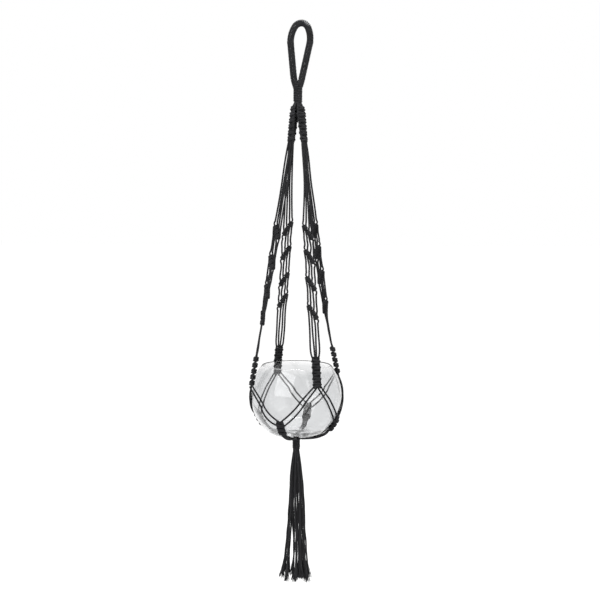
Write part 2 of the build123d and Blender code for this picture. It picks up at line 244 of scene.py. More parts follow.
def clear_glass():
    """Clear blown glass, very faintly grey, with slow waves in its surface, and painted light that turns it
    white toward the rim.
    """
    material, nodes, links, shader = new_material("clear_glass")
    place = nodes.new("ShaderNodeTexCoord")
    waves = nodes.new("ShaderNodeTexNoise")
    waves.inputs["Scale"].default_value = 9
    waves.inputs["Detail"].default_value = 1.5
    links.new(place.outputs["Object"], waves.inputs["Vector"])
    bump = nodes.new("ShaderNodeBump")
    bump.inputs["Strength"].default_value = 0.12
    bump.inputs["Distance"].default_value = 0.0012
    links.new(waves.outputs["Fac"], bump.inputs["Height"])
    links.new(bump.outputs["Normal"], shader.inputs["Normal"])
    haze = nodes.new("ShaderNodeMapRange")
    haze.inputs["To Min"].default_value = 0.0
    haze.inputs["To Max"].default_value = 0.035
    links.new(waves.outputs["Fac"], haze.inputs["Value"])
    links.new(haze.outputs["Result"], shader.inputs["Roughness"])
    height = nodes.new("ShaderNodeSeparateXYZ")
    links.new(place.outputs["Object"], height.inputs["Vector"])
    # Painted light: over the top 8 mm the colour turns from the glass's grey to white, so the rim looks
    # brighter.
    painted_rim_light_mask = nodes.new("ShaderNodeMapRange")
    painted_rim_light_mask.inputs["From Min"].default_value = (BOWL_HIGH[2] - 8) * MM
    painted_rim_light_mask.inputs["From Max"].default_value = (BOWL_HIGH[2] + 1) * MM
    links.new(height.outputs["Z"], painted_rim_light_mask.inputs["Value"])
    grey_and_rim_light = ramp(nodes, (0.79, 0.795, 0.8), (1, 1, 1))
    links.new(painted_rim_light_mask.outputs["Result"], grey_and_rim_light.inputs["Fac"])
    links.new(grey_and_rim_light.outputs["Color"], shader.inputs["Base Color"])
    shader.inputs["Transmission Weight"].default_value = 1.0
    shader.inputs["IOR"].default_value = 1.46
    return material


KNOTTING = cotton("knotting_cord", (0.003, 0.003, 0.0035), (0.017, 0.017, 0.019), 0.06)
WRAPPING = cotton("wrapping_cord", (0.0035, 0.0035, 0.004), (0.019, 0.019, 0.021), 0.07)
FRINGE = cotton("tassel_cord", (0.003, 0.003, 0.0035), (0.017, 0.017, 0.019), 0.07)
GLASS = clear_glass()


# Curves and cord surfaces


def unit(vectors):
    vectors = np.asarray(vectors, float)
    return vectors / np.linalg.norm(vectors, axis=-1, keepdims=True)


def spaced(points, step):
    """The same line with points a step apart."""
    points = np.asarray(points, float)
    runs = np.linalg.norm(np.diff(points, axis=0), axis=1)
    along = np.concatenate(([0], np.cumsum(runs)))
    count = max(2, int(round(along[-1] / step)) + 1)
    places = np.linspace(0, along[-1], count)
    return np.stack([np.interp(places, along, points[:, i]) for i in range(3)], axis=1)


def smooth(points, step=STEP, samples=10):
    """A smooth curve through given points, with even steps."""
    points = np.asarray(points, float)
    ends = np.vstack((2 * points[0] - points[1], points, 2 * points[-1] - points[-2]))
    share = np.linspace(0, 1, samples, endpoint=False)[:, None]
    curve = []
    for a, b, c, d in zip(ends, ends[1:], ends[2:], ends[3:]):
        slope = c - a
        bend = 2 * a - 5 * b + 4 * c - d
        twist = 3 * b - a - 3 * c + d
        curve.append(0.5 * (2 * b + slope * share + bend * share**2 + twist * share**3))
    curve.append(points[-1:])
    return spaced(np.vstack(curve), step)


def carried_frames(path):
    """A tangent and two cross directions at each point, carried along without twist."""
    tangents = unit(np.gradient(path, axis=0))
    start = np.cross(tangents[0], (0.31, 0.52, 0.79))
    sides = [start / np.linalg.norm(start)]
    for tangent in tangents[1:]:
        side = sides[-1] - tangent * np.dot(sides[-1], tangent)
        sides.append(side / np.linalg.norm(side))
    sides = np.array(sides)
    return tangents, sides, np.cross(tangents, sides)


def cord_surface(path, radius=RADIUS, lay=LAY, columns=COLUMNS, groove=GROOVE, tip=0.0):
    """Points, quads and texture places of one twisted cord. tip tapers its last stretch."""
    path = np.asarray(path, float)
    count = len(path)
    tangents, sides, ups = carried_frames(path)
    runs = np.linalg.norm(np.diff(path, axis=0), axis=1)
    along = np.concatenate(([0], np.cumsum(runs)))
    around = np.arange(columns) / columns * 2 * math.pi
    lobes = np.abs(np.cos(around * PLIES / 2)) ** 0.75
    start = random.uniform(0, 2 * math.pi)
    angles = around[None, :] + start + along[:, None] * 2 * math.pi / lay
    waver = 1 + 0.025 * np.sin(along * 0.9 + start) + 0.02 * np.sin(along * 2.3 + 2 * start)
    size = radius * waver
    if tip > 0:
        left = np.clip((along[-1] - along) / tip, 0, 1)
        size = size * (0.55 + 0.45 * left)
    reach = size[:, None] * (1 - groove + groove * lobes[None, :])
    rings = path[:, None, :] + reach[..., None] * (
        np.cos(angles)[..., None] * sides[:, None, :] + np.sin(angles)[..., None] * ups[:, None, :]
    )
    ends = np.array([path[0] - tangents[0] * radius * 0.5, path[-1] + tangents[-1] * radius * 0.5])
    points = np.vstack((rings.reshape(-1, 3), ends))
    row, column = np.meshgrid(np.arange(count - 1), np.arange(columns), indexing="ij")
    following = (column + 1) % columns
    quads = np.stack(
        (row * columns + column, row * columns + following,
         (row + 1) * columns + following, (row + 1) * columns + column), axis=-1
    ).reshape(-1, 4)
    u0 = column / columns
    u1 = (column + 1) / columns
    v0 = along[row] / 10
    v1 = along[row + 1] / 10
    places = np.stack(
        (np.stack((u0, v0), -1), np.stack((u1, v0), -1), np.stack((u1, v1), -1), np.stack((u0, v1), -1)),
        axis=2,
    ).reshape(-1, 2)
    first = count * columns
    rim = np.arange(columns)
    tail = (count - 1) * columns + rim
    caps = np.vstack((
        np.stack((np.full(columns, first), (rim + 1) % columns, rim), -1),
        np.stack((np.full(columns, first + 1), tail, (count - 1) * columns + (rim + 1) % columns), -1),
    ))
    return points, quads, places, caps


def cords_object(name, surfaces, material):
    """One piece made of several cord surfaces."""
    offset = 0
    points, quads, places, caps = [], [], [], []
    for some_points, some_quads, some_places, some_caps in surfaces:
        points.append(some_points)
        quads.append(some_quads + offset)
        caps.append(some_caps + offset)
        places.append(some_places)
        offset += len(some_points)
    points = np.vstack(points) * MM
    quads = np.vstack(quads)
    caps = np.vstack(caps)
    places = np.vstack((*places, np.zeros((caps.size, 2))))
    corners = np.concatenate((quads.ravel(), caps.ravel()))
    starts = np.concatenate((np.arange(len(quads)) * 4, quads.size + np.arange(len(caps)) * 3))
    mesh = bpy.data.meshes.new(name)
    mesh.vertices.add(len(points))
    mesh.vertices.foreach_set("co", points.ravel())
    mesh.loops.add(len(corners))
    mesh.loops.foreach_set("vertex_index", corners.astype(np.int32))
    mesh.polygons.add(len(starts))
    mesh.polygons.foreach_set("loop_start", starts.astype(np.int32))
    mesh.update(calc_edges=True)
    mesh.uv_layers.new(name="cord").uv.foreach_set("vector", places.ravel())
    mesh.polygons.foreach_set("use_smooth", np.ones(len(starts), dtype=bool))
    mesh.materials.append(material)
    mesh.validate()
    piece = bpy.data.objects.new(name, mesh)
    bpy.context.scene.collection.objects.link(piece)
    return piece


def hang(name, surfaces, material, body, nodes=()):
    """A piece of cords that rides on a body and stands for CAD nodes."""
    piece = cords_object(name, surfaces, material)
    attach(piece, body)
    if nodes:
        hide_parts(*nodes)
    return piece


# Arm places: across is to the right seen from outside, and out is away from the axis


def arm_distance(height):
    if height > TOP_KNOTS_END[1]:
        share = (height - TOP_KNOTS_START[1]) / (TOP_KNOTS_END[1] - TOP_KNOTS_START[1])
        return TOP_KNOTS_START[0] + share * (TOP_KNOTS_END[0] - TOP_KNOTS_START[0])
    slope = (ARM_END[0] - TOP_KNOTS_END[0]) / (ARM_END[1] - TOP_KNOTS_END[1])
    return TOP_KNOTS_END[0] + slope * (height - TOP_KNOTS_END[1])


# How an arm wanders from its even slope: height, turn round the axis and twist of its face in
# degrees, a push to the right in the photograph, and how much further out it is.
ARM_SWAY = {
    "front": [
        (-628, 0, 0, 0, 0), (-577, 0, 0, 0.6, 0), (-340, 0, 0, 2.2, 0), (-204, 16, 6, 1, 1.2),
        (-165, 7, 6, 0, 1), (-146, 3, 0, 0, 0.6), (-136, 0, 0, 0, -2.2),
    ],
    "left": [
        (-628, 0, -25, 0, 1.2), (-540, 0, -25, 0, 0), (-470, 0, 2, 0, 0), (-360, 0, 22, 1, 0),
        (-204, 14, 14, 0, 1.2), (-165, 7, 0, 0, 1), (-146, 3, 0, 0, 0.6), (-136, 0, 0, 0, -2.2),
    ],
    "back": [
        (-628, 0, 0, -1, 0), (-577, 0, 0, 0, 0), (-340, 0, 4, -1, 0), (-204, 16, 6, -1, 1.2),
        (-165, 7, 6, 0, 1), (-146, 3, 0, 0, 0.6), (-136, 0, 0, 0, -2.2),
    ],
    "right": [
        (-628, 0, -25, -1.2, 1.2), (-540, 0, -25, -6, 0), (-480, 0, 8, -6, 0), (-340, 0, 18, -5, 0),
        (-204, 14, 10, 0, 1.2), (-165, 7, 0, 0, 1), (-146, 3, 0, 0, 0.6), (-136, 0, 0, 0, -2.2),
    ],
}


def on_arm(arm, across, height, out=0.0):
    table = np.array(ARM_SWAY[arm], float)
    swing, twist, push, further = (np.interp(height, table[:, 0], table[:, i]) for i in (1, 2, 3, 4))
    turn = AZIMUTHS[arm] + math.radians(swing)
    face = turn + math.radians(twist)
    distance = arm_distance(height) + further
    return np.array((
        distance * math.cos(turn) + out * math.cos(face) - across * math.sin(face) + push,
        distance * math.sin(turn) + out * math.sin(face) + across * math.cos(face),
        height,
    ))


def on_bowl(turn, latitude, across=0.0, out=0.0):
    """A place over the bowl, out from its glass, with angles in degrees."""
    radius = BOWL_RADIUS + out
    level = radius * math.cos(math.radians(latitude))
    longitude = math.radians(turn) + across / level
    height = radius * math.sin(math.radians(latitude))
    return BOWL_CENTRE + np.array((level * math.cos(longitude), level * math.sin(longitude), height))


# Square knots. One knot is two half knots. The first worker always crosses in front of the
# two core cords, and the second always passes behind them and makes the bump at each side.
# Each entry is (share of the pitch, across in half widths, out in cord diameters).

FRONT_WORKER = [
    (0.0, -0.74, -0.1), (0.13, -0.88, 0.1), (0.25, -0.6, 0.95), (0.33, 0.0, 1.28), (0.41, 0.72, 0.9),
    (0.5, 1.05, 0.15), (0.59, 0.72, 0.9), (0.67, 0.0, 1.28), (0.75, -0.6, 0.95), (0.87, -0.88, 0.1),
]
BACK_WORKER = [
    (0.0, 0.76, 0.12), (0.13, 0.88, 0.1), (0.25, 0.55, -1.0), (0.33, 0.0, -1.28), (0.41, -0.72, -0.9),
    (0.5, -1.05, 0.2), (0.59, -0.72, -0.9), (0.67, 0.0, -1.28), (0.75, 0.55, -1.0), (0.87, 0.88, 0.1),
]
CORE_LANE = 1.45
FILL_LANE = 2.3 * CORE_LANE
FILL_RADIUS = 1.3
KNOT_RADIUS = 1.95  # the worker cords spread where they are pulled tight


def square_knots(place, length, count, half_width, lead=3.0, flat=1.0, tight=1.0):
    """Four cords of a sinnet. place(across, down, out) gives a point; width may change with down."""
    pitch = length / count
    lines = []
    for worker in (FRONT_WORKER, BACK_WORKER):
        side = worker[0][1]
        line = [place(side * half_width * 0.92, -lead, 0.0)]
        for knot in range(count):
            shift = random.uniform(-0.03, 0.03, 2)
            for share, across, out in worker:
                near = 0.5 + (share - 0.5) * tight if share else 0.0
                down = (knot + near + shift[0]) * pitch
                line.append(place(across * half_width * (1 + shift[1]), down, out * CORD * flat))
        line.append(place(side * half_width * 0.92, length + lead * 0.3, 0.0))
        lines.append(smooth(line))
    # The fill is the workers' own turns, pressed in between the core and the side.
    core_ends = (-lead, length + lead * 0.3)
    fill_ends = (0.2 * pitch, length - 0.2 * pitch)
    for lane, (start, end) in (
        (-CORE_LANE, core_ends), (CORE_LANE, core_ends), (-FILL_LANE, fill_ends), (FILL_LANE, fill_ends),
    ):
        sway = random.uniform(-0.15, 0.15, count + 2)
        step = (end - start) / (count + 1)
        line = [place(lane + sway[i], start + step * i, 0.0) for i in range(count + 2)]
        lines.append(smooth(line, LONG_STEP))
    radii = (KNOT_RADIUS, KNOT_RADIUS, RADIUS, RADIUS, FILL_RADIUS, FILL_RADIUS)
    return [cord_surface(line, radius) for line, radius in zip(lines, radii)]


# Arms


def top_knots(arm):
    """These begin a little low, which leaves the neck room to bend."""
    length = TOP_KNOTS_START[1] - TOP_KNOTS_END[1]
    lowered = 2.6

    def place(across, down, out):
        height = TOP_KNOTS_START[1] - down - lowered * (1 - down / length)
        squeeze = min(1.0, 0.6 + 0.4 * down / 16)
        return on_arm(arm, across * squeeze, height, out)

    return square_knots(place, length, 6, 6.2, lead=1.0, tight=0.82)


def lower_knots(arm):
    top, end = LOWER_KNOTS[arm]

    def place(across, down, out):
        return on_arm(arm, across, top - down, out)

    return square_knots(place, top - end, 5, 6.9)


def row_height(start, lane):
    return start - ROW_DROP * (lane + ROW_HALF_WIDTH) / (2 * ROW_HALF_WIDTH)


def hitch_row(arm, start):
    """The first cord lies across the others, and each of them is hitched round it twice."""
    left, right = -ROW_HALF_WIDTH, ROW_HALF_WIDTH
    end = start - ROW_DROP
    holder = [
        (LANES[0], start + 7, 0), (left - 0.7, start + 1.9, 0.3), (left + 1.2, start - 1.7, 0),
        (left * 0.5, row_height(start, left * 0.5), 0), (0, row_height(start, 0), 0),
        (right * 0.5, row_height(start, right * 0.5), 0), (right - 1.2, end + 1.7, 0),
        (right + 0.7, end - 1.9, 0.3), (LANES[3], end - 7, 0),
    ]
    lines = [smooth([on_arm(arm, across, height, out) for across, height, out in holder])]
    slant = unit((2 * ROW_HALF_WIDTH, -ROW_DROP))
    above = np.array((-slant[1], slant[0]))
    reach = 2.85
    half_turns = 26
    for index, even_share in enumerate(HITCH_SHARES):
        share = even_share + random.uniform(-0.015, 0.015)
        middle = np.array((left + share * (right - left), start - share * ROW_DROP))
        lane_in = LANES[index + 1]
        lane_out = LANES[index]
        line = [(lane_in, middle[1] + 10 + (lane_in - middle[0]) * 0.2, 0.0)]
        for turned in range(half_turns + 1):
            angle = math.radians(-90 - 45 * turned)
            slide = 3.9 - 7.8 * turned / half_turns
            spot = middle + slant * slide + above * math.cos(angle) * reach
            line.append((spot[0], spot[1], math.sin(angle) * reach))
        line.append((lane_out, middle[1] - 10 + (lane_out - middle[0]) * 0.2, 0.0))
        lines.append(smooth([on_arm(arm, across, height, out) for across, height, out in line]))
    return [cord_surface(line) for line in lines]


def loose_line(points, waver=0.45):
    """A cord that hangs between knots, nearly straight."""
    path = smooth(points, LONG_STEP)
    along = np.linspace(0, math.pi, len(path))
    push = random.normal(0, waver, (3, 3))
    for order in range(3):
        path = path + np.sin(along * (order + 1))[:, None] * push[order][None, :] / (order + 1)
    return path


def arrival(row_start, index):
    """Height at which a lane's cord reaches a row: the first is the row's holder, the others are hitched."""
    return row_start + 6 if index == 0 else row_start - HITCH_SHARES[index - 1] * ROW_DROP + 9


def departure(row_start, index):
    """Height at which a lane's cord leaves a row: each has moved over one lane, and the holder is last."""
    return row_start - ROW_DROP - 6 if index == 3 else row_start - HITCH_SHARES[index] * ROW_DROP - 9


def arm_cords(arm):
    """The free stretches: above the first row, between rows, and below the last row."""
    starts = ROW_STARTS[arm]
    knots_end = TOP_KNOTS_END[1]
    leave = (-4.6, -1.4, 1.4, 4.9)
    nearing = (-7.9, -1.75, 1.75, 7.9)
    enter = (-6.3, -1.5, 1.5, 6.3)
    knots_top = LOWER_KNOTS[arm][0]
    upper, middle, lower = [], [], []
    for index, lane in enumerate(LANES):
        meets = arrival(starts[0], index)
        upper.append(loose_line([
            on_arm(arm, leave[index], knots_end + 1),
            on_arm(arm, leave[index] * 1.12, knots_end - 9),
            on_arm(arm, (leave[index] + lane) / 2, (knots_end + meets) / 2),
            on_arm(arm, lane, meets),
        ]))
        for above, below in zip(starts, starts[1:]):
            leaves = departure(above, index)
            arrives = arrival(below, index)
            if leaves > arrives:
                middle.append(loose_line([
                    on_arm(arm, lane, leaves + 1), on_arm(arm, lane, (leaves + arrives) / 2),
                    on_arm(arm, lane, arrives - 1),
                ]))
            else:
                middle.append(smooth([on_arm(arm, lane, leaves + 2), on_arm(arm, lane, arrives - 2)]))
        leaves = departure(starts[-1], index)
        lower.append(loose_line([
            on_arm(arm, lane, leaves + 1),
            on_arm(arm, (lane + nearing[index]) / 2, leaves - 22),
            on_arm(arm, nearing[index], knots_top + 14),
            on_arm(arm, enter[index] * 0.94, knots_top + 1.5),
            on_arm(arm, enter[index] * 0.8, knots_top - 2),
        ]))
    return upper, middle, lower


# Sling


def junction_turn(junction):
    arm, turn = JUNCTIONS[junction][:2]
    return math.degrees(AZIMUTHS[arm]) + turn


def taut_over_bowl(start, end, sag):
    """Straight until it meets the glass, then over it, hanging below a great circle by up to the sag."""
    radius = BOWL_RADIUS + RADIUS + 0.15
    first = start - BOWL_CENTRE
    last = end - BOWL_CENTRE
    toward = unit(np.cross(np.cross(first, last), first))
    total = math.acos(float(np.dot(unit(first), unit(last))))
    meets = math.acos(min(1.0, radius / np.linalg.norm(first)))
    turned = np.linspace(meets, total, 40)[:, None]
    touching = radius * (unit(first) * np.cos(turned) + toward * np.sin(turned))
    touching[:, 2] -= np.sin(np.linspace(0, 1, 40) ** 0.7 * math.pi) * sag
    line = spaced(np.vstack((start, BOWL_CENTRE + radius * unit(touching))), LONG_STEP) - BOWL_CENTRE
    away = np.linalg.norm(line, axis=1)
    clear = radius + np.maximum(0, 8.6 * line[:, 2] / away - 0.3)  # the bowl lifts 8 mm past it
    return BOWL_CENTRE + line * (np.maximum(away, clear) / away)[:, None]


# One arm's four sling cords: lane at the lower knots, how much lower it leaves them, how far out
# it leaves them and its sag. The left arm's right-hand pair hangs slack.
SLING = ((-6.0, 0.0, 0.4, 2.0), (-1.7, 3.0, 0.4, 2.6), (1.7, 3.0, 0.4, 2.6), (6.2, 0.0, 0.4, 2.0))
SLACK_SLING = (*SLING[:2], (1.7, 3.0, 2.8, 9.5), (6.2, 0.0, -0.8, 4.0))


def sling_cords(arm):
    lines = []
    for lane, drop, out, sag in SLACK_SLING if arm == "left" else SLING:
        side = math.copysign(1, lane)
        junction = JUNCTION_AFTER[arm] if side > 0 else JUNCTION_BEFORE[arm]
        start = on_arm(arm, lane, LOWER_KNOTS[arm][1] + 2 - drop, out)
        # The inner cord goes further in, to the far side of the junction's knots.
        entry, deeper = (5.3, 5.2) if drop else (0.4, -0.4)
        end = on_bowl(junction_turn(junction), JUNCTIONS[junction][2] - deeper, -side * entry, 2.4)
        lines.append(taut_over_bowl(start, end, sag))
    return [cord_surface(line) for line in lines]


def junction_knots(junction):
    turn = junction_turn(junction)
    top, length = JUNCTIONS[junction][2:]

    def place(across, down, out):
        latitude = top - math.degrees(down / (BOWL_RADIUS + JUNCTION_OUT))
        return on_bowl(turn, latitude, across, JUNCTION_OUT + 0.05 + out)

    return square_knots(place, length, 3, 6.9, flat=0.9)


def directions(junction):
    """Away from the axis toward a junction, and sideways from that."""
    turn = math.radians(junction_turn(junction))
    return np.array((math.cos(turn), math.sin(turn), 0)), np.array((-math.sin(turn), math.cos(turn), 0))


# Under the bowl: distance from the axis and depth under the bowl's centre.
UNDER_BASE = ((55.0, 62.7), (48.5, 66.4), (41.0, 69.6), (33.0, 71.9), (22.0, 73.5), (11.0, 74.6))


def base_cords(junction):
    """From the junction round the edge of the bowl's base and in to the hub."""
    lines = []
    turn = junction_turn(junction)
    outward, sideways = directions(junction)
    top, length = JUNCTIONS[junction][2:]
    below = top - math.degrees(length / (BOWL_RADIUS + JUNCTION_OUT)) + 1.2
    halfway = (below - 47) / 2
    under = 0.9 if junction == "front_left" else 2.0  # how much lower the two middle cords lie
    for lane, closer, drop in ((-4.8, -3.3, 0), (-1.6, -1.2, under), (1.6, 1.2, under), (4.8, 3.3, 0)):
        route = [
            on_bowl(turn, below, lane, 2.6),
            on_bowl(turn, halfway, (lane + closer) / 2, 1.9 + drop * 0.6),
        ]
        for reach, depth in UNDER_BASE:
            spot = outward * (reach + drop * 0.5 * (reach > 40)) + sideways * closer
            route.append(spot + (0, 0, BOWL_CENTRE[2] - depth - drop * 0.85))
        lines.append(smooth(route, LONG_STEP))
    return [cord_surface(line) for line in lines]


# Loop, neck, gathering


def loop_line(end_height):
    """Right half of the loop's centreline, from its top down."""
    top, crown, crown_turn, shoulder, lean = 6.0, 13.0, 62.0, 49.0, 9.0
    points = []
    for angle in np.radians(np.linspace(0, crown_turn, 18)):
        points.append((crown * math.sin(angle), top - crown * (1 - math.cos(angle))))
    bend = points[-1]
    begin = math.radians(crown_turn)
    for angle in np.radians(np.linspace(crown_turn + 2, 90 + lean, 30)):
        points.append((
            bend[0] + shoulder * (math.sin(angle) - math.sin(begin)),
            bend[1] - shoulder * (math.cos(begin) - math.cos(angle)),
        ))
    x, z = points[-1]
    points.append((x + math.tan(math.radians(lean)) * (-87 - z), -87))
    points += [(6.6, -93.5), (5.5, -98), (4.2, -102), (3.2, end_height)]
    return smooth([(x, 0, z) for x, z in points], 0.6)


def wound(path, reach, pitch, radius, start=0.0, flare=0.0):
    """A cord wound round a line at a distance from it, with slightly uneven turns."""
    fine = spaced(path, 0.35)
    _, sides, ups = carried_frames(fine)
    along = np.linspace(0, 0.35 * (len(fine) - 1), len(fine))
    turns = along / pitch
    count = int(turns[-1] * 26)
    places = np.linspace(0, turns[-1], count)

    def at(values):
        return np.stack([np.interp(places, turns, values[:, i]) for i in range(3)], axis=1)

    angles = 2 * math.pi * places + start + 0.06 * np.sin(places * 1.7)
    swell = reach * (1 + 0.012 * np.sin(places * 2 * math.pi * 0.37) + 0.008 * np.sin(places * 5.1))
    swell = swell + flare * np.exp(-places / 1.3)
    outward = np.cos(angles)[:, None] * at(sides) + np.sin(angles)[:, None] * at(ups)
    line = at(fine) + swell[:, None] * outward
    return cord_surface(line, radius, lay=LAY * radius / RADIUS, groove=0.2)


def loop_wrap():
    half = loop_line(NECK_TOP)
    whole = np.vstack((half[::-1] * (-1, 1, 1), half[1:]))
    whole[:, 0] += np.clip((whole[:, 2] + 90) / 96, 0, 1) * 6.0  # it leans a little to the right
    return [wound(whole, 5.0, 2.45, 1.3)]


def throat_cords():
    """The cords that leave the loop's two legs and go down into the neck wrapping."""
    lines = []
    for side in (-1, 1):
        for index in range(6):
            angle = math.radians(60 * index + 30)
            leg = np.array((side * 5.9, 0, THROAT[2] + 4.5))
            ring = np.array((math.cos(angle), math.sin(angle), 0))
            aim = np.array((side * 2.2, 0, 0))
            lines.append(smooth([
                leg + ring * 2.9, leg + ring * 2.9 + (-side * 0.5, 0, -3.2),
                aim + ring * 3.0 + (side * 1.2, 0, THROAT[2] - 3.6),
                aim + ring * 2.7 + (0, 0, THROAT[2] - 11),
            ]))
    return [cord_surface(line) for line in lines]


def neck_fan(arm):
    """Four cords from the neck wrapping to the top of one arm's knots."""
    lines = []
    turn = AZIMUTHS[arm]
    for spread, inner, lane in ((-34, 4.6, -3.225), (-11, 4.9, -0.99), (11, 4.9, 0.99), (34, 4.6, 3.225)):
        angle = turn + math.radians(spread)
        start = np.array((inner * math.cos(angle), inner * math.sin(angle), NECK_BASE[2] + 3))
        lines.append(smooth([
            start,
            start * (1.08, 1.08, 1) - (0, 0, 3.6),
            on_arm(arm, lane, TOP_KNOTS_START[1] - 1.5),
            on_arm(arm, lane, TOP_KNOTS_START[1] - 6.5),
        ]))
    return [cord_surface(line) for line in lines]


def upright_wrap(top, bottom, reach, flare=0.0):
    """Turns round an upright bundle; flare is how much wider the first turns are."""
    path = np.array([(0, 0, top), (0.12, 0.1, (top + bottom) / 2), (0, 0, bottom)])
    return [wound(path, reach, RADIUS * 1.85, RADIUS, start=1.1, flare=flare)]


def crossing_cords():
    """Sixteen cords from under the bowl's base, down into the gathering wrapping."""
    lines = []
    base = BOWL_LOW[2] - RADIUS
    for junction in JUNCTIONS:
        outward, sideways = directions(junction)
        for last, inner, reach, drop in (
            (-3.3, -2.4, 3.9, 0), (-1.2, -0.9, 4.5, 0.8), (1.2, 0.9, 4.1, 0.8), (3.3, 2.4, 3.9, 0),
        ):
            lines.append(smooth([
                outward * 12.5 + sideways * last + (0, 0, base - 3.3 - drop),
                outward * 9.2 + sideways * last * 0.97 + (0, 0, base - 3.9 - drop),
                outward * 6.2 + sideways * last * 0.85 + (0, 0, base - 5.5 - drop * 0.5),
                outward * reach + sideways * inner + (0, 0, GATHER_TOP[2] - 0.5),
                outward * (reach - 0.5) + sideways * inner * 0.8 + (0, 0, GATHER_TOP[2] - 6),
            ]))
    return [cord_surface(line) for line in lines]


# Tassel


def route_line(name, points):
    """Even points read from the route's own smooth NURBS spline."""
    curve = bpy.data.curves.new(name, "CURVE")
    curve.dimensions = "3D"
    curve.resolution_u = 24
    spline = curve.splines.new("NURBS")
    spline.points.add(len(points) - 1)
    for control, point in zip(spline.points, points):
        control.co = (*(np.array(point) * MM), 1)
    spline.order_u = 3
    spline.use_endpoint_u = True
    holder = bpy.data.objects.new(name, curve)
    bpy.context.scene.collection.objects.link(holder)
    bpy.context.view_layer.update()
    mesh = bpy.data.meshes.new_from_object(holder)
    line = np.array([vertex.co for vertex in mesh.vertices]) / MM
    bpy.data.objects.remove(holder)
    bpy.data.curves.remove(curve)
    bpy.data.meshes.remove(mesh)
    return line


FRAY = 33.0  # length of each strand's frayed end
YARNS = 24


def frayed_end(path):
    """Fine yarns that leave the cord's plies near its end and spread out like a brush."""
    runs = np.linalg.norm(np.diff(path, axis=0), axis=1)
    left = np.concatenate((np.cumsum(runs[::-1])[::-1], [0]))
    tail = spaced(path[left < FRAY], 1.6)
    tangents, sides, ups = carried_frames(tail)
    share = np.linspace(0, 1, len(tail))
    surfaces = []
    for yarn in range(YARNS):
        angle = 2 * math.pi * yarn / YARNS + random.uniform(-0.3, 0.3)
        spread = random.uniform(0.8, 5.4)
        begin = random.uniform(0.0, 0.35)
        grown = np.clip((share - begin) / (1 - begin), 0, 1)
        reach = RADIUS * 0.72 + spread * grown**1.6
        curl = angle + random.uniform(-0.9, 0.9) * grown + 0.5 * np.sin(share * random.uniform(3, 8))
        line = tail + reach[:, None] * (np.cos(curl)[:, None] * sides + np.sin(curl)[:, None] * ups)
        line = line + tangents * (grown * random.uniform(-4, 2.0))[:, None]
        surfaces.append(cord_surface(line, 0.55, lay=6, columns=6, groove=0.12, tip=14))
    return surfaces


def limp(path, seed):
    """The small waves that limp cotton keeps, none where the strand leaves the wrapping."""
    waves = np.random.default_rng(seed)
    run = np.linspace(0, 1, len(path))
    grown = np.clip((run - 0.12) / 0.3, 0, 1) * 0.5
    for axis in (0, 1):
        for turns in (2.1, 4.3, 7.0):
            phase = waves.uniform(0, 2 * math.pi)
            size = waves.uniform(0.4, 1.0) / turns**0.3
            path[:, axis] += grown * size * np.sin(2 * math.pi * turns * run + phase)
    return path


def tassel_strand(number):
    points = TASSEL_STRANDS[number]
    first = points[0]
    inside = (first[0] * 0.72, first[1] * 0.72, GATHER_BASE[2] + 2.0)
    path = limp(spaced(route_line(f"route_{number}", [inside, *points]), LONG_STEP), int(number))
    node = f"tassel_strand_{number}"
    surfaces = [cord_surface(path, tip=8)]
    strand = hang(f"tassel_cord_{number}", surfaces, FRINGE, "tassel", (node,))
    fray = hang(f"frayed_end_{number}", frayed_end(path), FRINGE, "tassel")


# Bowl


def arc_points(centre, radius, start, end, count):
    return [
        (centre[0] + radius * math.cos(a), centre[1] + radius * math.sin(a))
        for a in np.radians(np.linspace(start, end, count))
    ]


